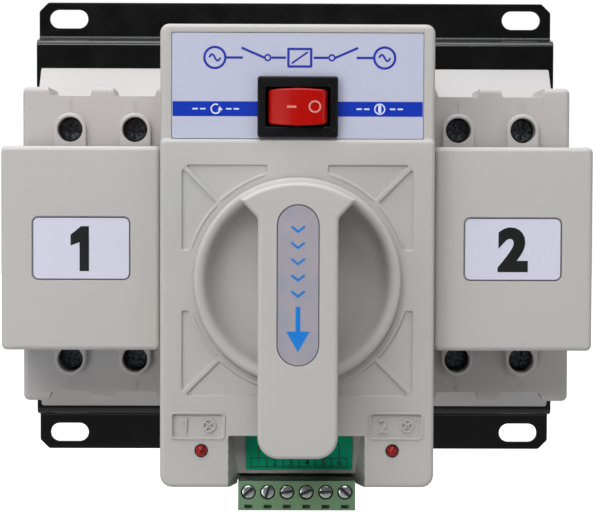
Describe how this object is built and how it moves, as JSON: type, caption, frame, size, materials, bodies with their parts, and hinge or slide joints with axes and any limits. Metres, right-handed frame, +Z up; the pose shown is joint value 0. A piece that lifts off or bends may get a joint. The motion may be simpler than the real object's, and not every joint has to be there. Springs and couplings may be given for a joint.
{
  "type": "manual transfer switch",
  "caption": "Wall-mounted changeover switch: twin breakers on a bent black base plate, with a turning handle, rocker and terminal block between them.",
  "frame": {"origin": "on the wall plane, at the centre of the four fixing slots", "axes": "+X to the right seen from the front, the front faces -Y, +Z up"},
  "size_m": [0.1568, 0.114, 0.1387],
  "materials": {
    "powder_coat_black": "gloss black powder coat",
    "zinc_screw": "bright zinc plate",
    "housing_plastic": "fine-textured warm light grey",
    "breaker_plastic": "fine-textured light grey",
    "brass": "bright, lightly tarnished",
    "dark_steel": "dark passivated steel",
    "tag_plastic": "satin printed white sheet",
    "lamp_red": "clear red lens",
    "dark_plastic": "black satin",
    "nylon": "natural nylon",
    "red_plastic": "gloss red",
    "panel_print": "satin printed pale blue sheet",
    "silver_label": "satin silver-grey sheet",
    "steel": "brushed",
    "circuit_board": "green solder mask",
    "block_green": "satin pale green",
    "green_label": "satin printed green sheet"
  },
  "bodies": {
    "switch_frame": {"base_plate": "powder_coat_black", "deck_screw_1": "zinc_screw", "deck_screw_2": "zinc_screw", "deck_screw_3": "zinc_screw", "deck_screw_4": "zinc_screw", "normal_breaker_case": "breaker_plastic", "normal_breaker_cover": "breaker_plastic", "normal_terminal_clamp_1": "brass", "normal_terminal_clamp_2": "brass", "normal_terminal_clamp_3": "brass", "normal_terminal_clamp_4": "brass", "normal_terminal_screw_1": "dark_steel", "normal_terminal_screw_2": "dark_steel", "normal_terminal_screw_3": "dark_steel", "normal_terminal_screw_4": "dark_steel", "normal_wing_cover": "housing_plastic", "normal_tag": "tag_plastic", "normal_lamp": "lamp_red", "normal_limit_switch": "dark_plastic", "reserve_breaker_case": "breaker_plastic", "reserve_breaker_cover": "breaker_plastic", "reserve_terminal_clamp_1": "brass", "reserve_terminal_clamp_2": "brass", "reserve_terminal_clamp_3": "brass", "reserve_terminal_clamp_4": "brass", "reserve_terminal_screw_1": "dark_steel", "reserve_terminal_screw_2": "dark_steel", "reserve_terminal_screw_3": "dark_steel", "reserve_terminal_screw_4": "dark_steel", "reserve_wing_cover": "housing_plastic", "reserve_tag": "tag_plastic", "reserve_lamp": "lamp_red", "reserve_limit_switch": "dark_plastic", "rear_case": "housing_plastic", "front_cover": "housing_plastic", "label_panel": "panel_print", "rocker_case": "dark_plastic", "gear_motor": "steel", "carrier_plate": "steel", "circuit_board": "circuit_board", "terminal_block": "block_green", "block_screw_1": "zinc_screw", "block_screw_2": "zinc_screw", "block_screw_3": "zinc_screw", "block_screw_4": "zinc_screw", "block_screw_5": "zinc_screw", "block_screw_6": "zinc_screw", "terminal_label": "green_label"},
    "handle_rotor": {"handle": "housing_plastic", "handle_label": "silver_label", "drive_shaft": "steel", "rack_pinion": "nylon", "drive_gear": "nylon"},
    "motor_spindle": {"motor_pinion": "brass"},
    "normal_slide": {"normal_slider": "nylon"},
    "reserve_slide": {"reserve_slider": "nylon"},
    "normal_lever": {"normal_toggle": "dark_plastic"},
    "reserve_lever": {"reserve_toggle": "dark_plastic"},
    "rocker_button": {"rocker": "red_plastic"}
  },
  "joints": [
    {"name": "handle_turn", "type": "hinge", "parent": "switch_frame", "child": "handle_rotor", "pos_m": [0, -0.08, -0.0111], "axis": [0, -1, 0], "range_deg": [-90, 90]},
    {"name": "motor_turn", "type": "hinge", "parent": "switch_frame", "child": "motor_spindle", "pos_m": [0, -0.0485, 0.0144], "axis": [0, -1, 0], "range_deg": [-228, 228]},
    {"name": "normal_slider_travel", "type": "slide", "parent": "switch_frame", "child": "normal_slide", "axis": [0, 0, 1], "range_m": [-0.0116, 0.0116]},
    {"name": "reserve_slider_travel", "type": "slide", "parent": "switch_frame", "child": "reserve_slide", "axis": [0, 0, 1], "range_m": [-0.0116, 0.0116]},
    {"name": "normal_toggle_turn", "type": "hinge", "parent": "switch_frame", "child": "normal_lever", "pos_m": [-0.0534, -0.066, -0.003], "axis": [-1, 0, 0], "range_deg": [-48, 48]},
    {"name": "reserve_toggle_turn", "type": "hinge", "parent": "switch_frame", "child": "reserve_lever", "pos_m": [0.0534, -0.066, -0.003], "axis": [-1, 0, 0], "range_deg": [-48, 48]},
    {"name": "rocker_tilt", "type": "hinge", "parent": "switch_frame", "child": "rocker_button", "pos_m": [0, -0.0905, 0.0344], "axis": [0, 0, 1], "range_deg": [0, 24]}
  ],
  "couplings": [
    {"joint": "motor_turn", "follows": "handle_turn", "ratio": -2.4},
    {"joint": "normal_slider_travel", "follows": "handle_turn", "m_per_rad": -0.007},
    {"joint": "reserve_slider_travel", "follows": "handle_turn", "m_per_rad": 0.007},
    {"joint": "normal_toggle_turn", "follows": "handle_turn", "ratio": -0.505},
    {"joint": "reserve_toggle_turn", "follows": "handle_turn", "ratio": 0.505}
  ]
}
